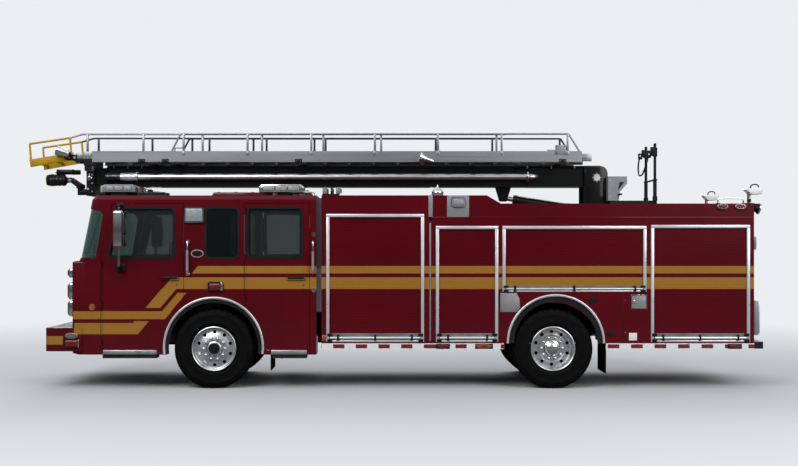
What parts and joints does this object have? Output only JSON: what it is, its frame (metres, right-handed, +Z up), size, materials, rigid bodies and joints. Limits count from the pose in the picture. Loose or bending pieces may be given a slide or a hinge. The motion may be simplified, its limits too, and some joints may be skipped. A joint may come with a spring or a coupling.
{
  "type": "fire engine with a telescoping water boom",
  "caption": "Pumper fire engine: crew cab with doors, shuttered body, turntable with a lifting, telescoping boom, ladder and water monitor.",
  "frame": {"origin": "ground centre of the whole vehicle's box", "axes": "+X forward, +Y to the driver's side, +Z up"},
  "size_m": [10.144, 2.94, 3.529],
  "materials": {
    "chassis_black": "satin black paint",
    "engine_grey": "painted casting",
    "red_paint": "gloss red paint with gold stripes",
    "cab_glass": "tinted glass",
    "steel": "bright steel",
    "seat_fabric": "woven grey fabric",
    "black_plastic": "grained plastic",
    "chrome": "polished chrome",
    "polished_trim": "polished stainless",
    "shutter_aluminium": "satin anodised slats",
    "rail_white": "reflective white with red blocks",
    "tread_plate": "bright tread plate",
    "lamp_housing": "chrome housings with lenses",
    "lightbar_lens": "red and clear lenses",
    "black_steel": "satin black paint",
    "rubber": "black rubber",
    "console_grey": "grey paint",
    "boom_black": "gloss black paint",
    "boom_grey": "black paint",
    "ladder_aluminium": "natural aluminium",
    "tip_yellow": "bright yellow paint",
    "monitor_maroon": "dark maroon paint",
    "tyre": "rubber tyre on a polished rim"
  },
  "bodies": {
    "chassis": {"frame_rails": "chassis_black", "front_axle": "chassis_black", "rear_axle": "chassis_black", "leaf_springs": "chassis_black", "driveline": "engine_grey", "bumper": "red_paint", "cab_shell": "red_paint", "cab_glass": "cab_glass", "hinge_pins": "steel", "seats": "seat_fabric", "dashboard": "black_plastic", "grille": "chrome", "front_lamps": "chrome", "arch_trims": "polished_trim", "pump_module": "red_paint", "body_shell": "red_paint", "shutters": "shutter_aluminium", "rub_rails": "rail_white", "steps": "tread_plate", "lamps": "lamp_housing", "light_bars": "lightbar_lens", "roof_fittings": "red_paint", "boom_cradle": "black_steel", "grab_handles": "polished_trim", "mud_flaps": "rubber", "floodlight": "lamp_housing", "turntable_ring": "chassis_black"},
    "front_left_door": {"door_front_left": "red_paint", "door_glass_front_left": "cab_glass"},
    "front_right_door": {"door_front_right": "red_paint", "door_glass_front_right": "cab_glass"},
    "rear_left_door": {"door_rear_left": "red_paint", "door_glass_rear_left": "cab_glass"},
    "rear_right_door": {"door_rear_right": "red_paint", "door_glass_rear_right": "cab_glass"},
    "left_knuckle": {"knuckle_left": "chassis_black"},
    "right_knuckle": {"knuckle_right": "chassis_black"},
    "front_left_wheel": {"wheel_front_left": "tyre"},
    "front_right_wheel": {"wheel_front_right": "tyre"},
    "rear_left_wheel": {"wheel_rear_left": "tyre"},
    "rear_right_wheel": {"wheel_rear_right": "tyre"},
    "turntable": {"turret": "black_steel", "barrel_bracket": "black_steel", "turntable_platform": "tread_plate", "console": "console_grey"},
    "base_arm": {"base_boom": "boom_black", "base_ladder": "ladder_aluminium", "waterway": "polished_trim"},
    "fly_arm": {"fly_boom": "boom_grey", "fly_ladder": "ladder_aluminium", "ladder_tip": "tip_yellow", "boom_head": "black_steel"},
    "monitor_turn": {"monitor_elbow": "monitor_maroon"},
    "nozzle": {"monitor_nozzle": "monitor_maroon"},
    "cylinder_barrel": {"lift_barrel": "black_steel"},
    "cylinder_rod": {"lift_rod": "chrome"}
  },
  "joints": [
    {"name": "front_left_door_hinge", "type": "hinge", "parent": "chassis", "child": "front_left_door", "pos_m": [3.835, 1.224, 1.1], "axis": [0, 0, -1], "range_deg": [0, 75]},
    {"name": "front_right_door_hinge", "type": "hinge", "parent": "chassis", "child": "front_right_door", "pos_m": [3.835, -1.224, 1.1], "axis": [0, 0, 1], "range_deg": [0, 75]},
    {"name": "rear_left_door_hinge", "type": "hinge", "parent": "chassis", "child": "rear_left_door", "pos_m": [1.907, 1.224, 1.7], "axis": [0, 0, -1], "range_deg": [0, 75]},
    {"name": "rear_right_door_hinge", "type": "hinge", "parent": "chassis", "child": "rear_right_door", "pos_m": [1.907, -1.224, 1.7], "axis": [0, 0, 1], "range_deg": [0, 75]},
    {"name": "steer_left", "type": "hinge", "parent": "chassis", "child": "left_knuckle", "pos_m": [2.334, 0.76, 0.535], "axis": [0, 0, 1], "range_deg": [-38, 38]},
    {"name": "steer_right", "type": "hinge", "parent": "chassis", "child": "right_knuckle", "pos_m": [2.334, -0.76, 0.535], "axis": [0, 0, 1], "range_deg": [-38, 38]},
    {"name": "front_left_wheel_spin", "type": "hinge", "parent": "left_knuckle", "child": "front_left_wheel", "pos_m": [2.334, 1, 0.535], "axis": [0, 1, 0], "continuous": true},
    {"name": "front_right_wheel_spin", "type": "hinge", "parent": "right_knuckle", "child": "front_right_wheel", "pos_m": [2.334, -1, 0.535], "axis": [0, 1, 0], "continuous": true},
    {"name": "rear_left_wheel_spin", "type": "hinge", "parent": "chassis", "child": "rear_left_wheel", "pos_m": [-2.238, 1, 0.535], "axis": [0, 1, 0], "continuous": true},
    {"name": "rear_right_wheel_spin", "type": "hinge", "parent": "chassis", "child": "rear_right_wheel", "pos_m": [-2.238, -1, 0.535], "axis": [0, 1, 0], "continuous": true},
    {"name": "turntable_turn", "type": "hinge", "parent": "chassis", "child": "turntable", "pos_m": [-3.006, 0, 2.35], "axis": [0, 0, 1], "continuous": true},
    {"name": "boom_lift", "type": "hinge", "parent": "turntable", "child": "base_arm", "pos_m": [-2.987, 0, 2.896], "axis": [0, -1, 0], "range_deg": [0, 75]},
    {"name": "fly_extend", "type": "slide", "parent": "base_arm", "child": "fly_arm", "axis": [1, 0, 0], "range_m": [0, 4.9]},
    {"name": "monitor_yaw", "type": "hinge", "parent": "fly_arm", "child": "monitor_turn", "pos_m": [4.42, 0, 2.778], "axis": [0, 0, 1], "range_deg": [-80, 80]},
    {"name": "monitor_pitch", "type": "hinge", "parent": "monitor_turn", "child": "nozzle", "pos_m": [4.56, 0, 2.871], "axis": [0, -1, 0], "range_deg": [-70, 20]},
    {"name": "barrel_swing", "type": "hinge", "parent": "turntable", "child": "cylinder_barrel", "pos_m": [-2.787, 0, 2.446], "axis": [0, -1, 0], "range_deg": [0, 70]},
    {"name": "rod_slide", "type": "slide", "parent": "cylinder_barrel", "child": "cylinder_rod", "axis": [0.9887, 0, 0.1496], "range_m": [0, 0.6]}
  ],
  "couplings": [
    {"joint": "steer_right", "follows": "steer_left", "ratio": 1},
    {"joint": "barrel_swing", "follows": "boom_lift", "ratio": 0.922},
    {"joint": "rod_slide", "follows": "boom_lift", "m_per_rad": 0.455}
  ]
}
